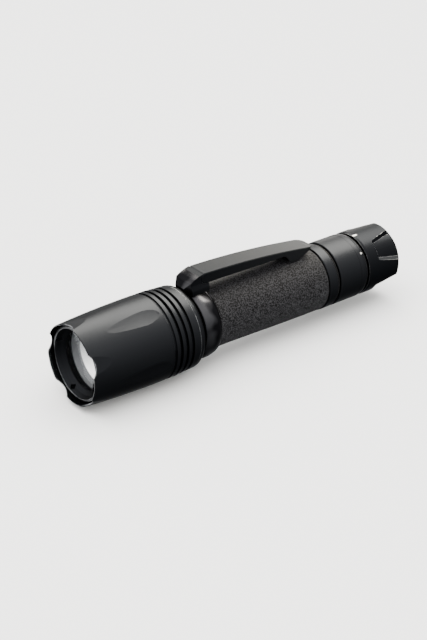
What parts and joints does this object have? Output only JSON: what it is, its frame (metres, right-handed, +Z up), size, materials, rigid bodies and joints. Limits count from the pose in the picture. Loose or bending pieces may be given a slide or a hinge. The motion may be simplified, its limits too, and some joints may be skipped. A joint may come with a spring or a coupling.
{
  "type": "tactical flashlight",
  "caption": "Slim tactical flashlight with a scooped crenellated head, cooling grooves, foam grip, sprung pocket clip and a turning tail selector round a push button.",
  "frame": {"origin": "under the middle of the light, on the surface that the underside of the head touches", "axes": "+X along the light towards the beam end, +Z up through the clip, +Y to the side of the selector mark"},
  "size_m": [0.1538, 0.034, 0.0382],
  "materials": {
    "black_anodised": "hard black anodised, fine satin",
    "ring_anodised": "black anodised, dull",
    "gloss_polymer": "black moulded nylon, polished",
    "clip_polymer": "glass-filled nylon, satin",
    "grip_foam": "charcoal closed-cell foam, grainy",
    "lens_glass": "clear coated glass",
    "reflector_plating": "vacuum plated, fine orange peel",
    "seal_rubber": "black nitrile",
    "button_rubber": "black silicone, matt",
    "white_nylon": "white nylon",
    "led_phosphor": "yellow phosphor on white ceramic",
    "led_silicone": "clear silicone",
    "circuit_board": "green solder mask",
    "component_black": "moulded epoxy",
    "lead_insulation": "red silicone insulation",
    "bare_aluminium": "turned, bare",
    "contact_brass": "turned brass",
    "spring_gilt": "gold-plated spring bronze",
    "bright_steel": "bright steel",
    "cell_sleeve": "blue shrink sleeve"
  },
  "bodies": {
    "light": {"head_shell": "black_anodised", "head_collar": "black_anodised", "body_tube": "black_anodised", "lens_ring": "ring_anodised", "neck_ring": "gloss_polymer", "clip_foot": "clip_polymer", "foam_grip": "grip_foam", "lens": "lens_glass", "reflector": "reflector_plating", "lens_gasket": "seal_rubber", "head_oring": "seal_rubber", "tail_oring": "seal_rubber", "led_centering_ring": "white_nylon", "cell_insulator": "white_nylon", "led_package": "led_phosphor", "led_dome": "led_silicone", "led_board": "circuit_board", "driver_board": "circuit_board", "cell_board": "circuit_board", "driver_parts": "component_black", "led_leads": "lead_insulation", "heat_sink": "bare_aluminium", "driver_retainer": "contact_brass", "driver_spring": "spring_gilt", "clip_pins": "bright_steel", "cell_can": "bright_steel", "cell_positive_cap": "bright_steel", "cell_wrap": "cell_sleeve"},
    "contact_carriage": {"contact_plate": "contact_brass", "contact_spring": "spring_gilt"},
    "tail": {"tail_collar": "black_anodised", "selector_oring": "seal_rubber", "stop_pin": "bright_steel", "detent_ball": "bright_steel", "detent_spring": "bright_steel", "cap_retainer": "ring_anodised", "switch_board": "circuit_board", "switch_module": "white_nylon", "button_seal": "seal_rubber"},
    "selector": {"selector_cap": "black_anodised"},
    "button": {"switch_button": "button_rubber", "switch_plunger": "component_black"},
    "clip": {"clip_arm": "clip_polymer"}
  },
  "joints": [
    {"name": "clip_flex", "type": "hinge", "parent": "light", "child": "clip", "pos_m": [0.01875, 0, 0.03605], "axis": [0, 1, 0], "range_deg": [0, 4], "stiffness_Nm_per_rad": 7},
    {"name": "tail_travel", "type": "slide", "parent": "light", "child": "contact_carriage", "axis": [-1, 0, 0], "range_m": [0, 0.008]},
    {"name": "tail_unscrew", "type": "hinge", "parent": "contact_carriage", "child": "tail", "pos_m": [-0.04295, 0, 0.01695], "axis": [-1, 0, 0], "range_deg": [0, 1918]},
    {"name": "selector_turn", "type": "hinge", "parent": "tail", "child": "selector", "pos_m": [-0.06135, 0, 0.01695], "axis": [-1, 0, 0], "range_deg": [0, 38.7]},
    {"name": "button_press", "type": "slide", "parent": "tail", "child": "button", "axis": [1, 0, 0], "range_m": [0, 0.0015], "stiffness_N_per_m": 2000}
  ],
  "couplings": [
    {"joint": "tail_travel", "follows": "tail_unscrew", "m_per_rad": 0.00023873}
  ]
}
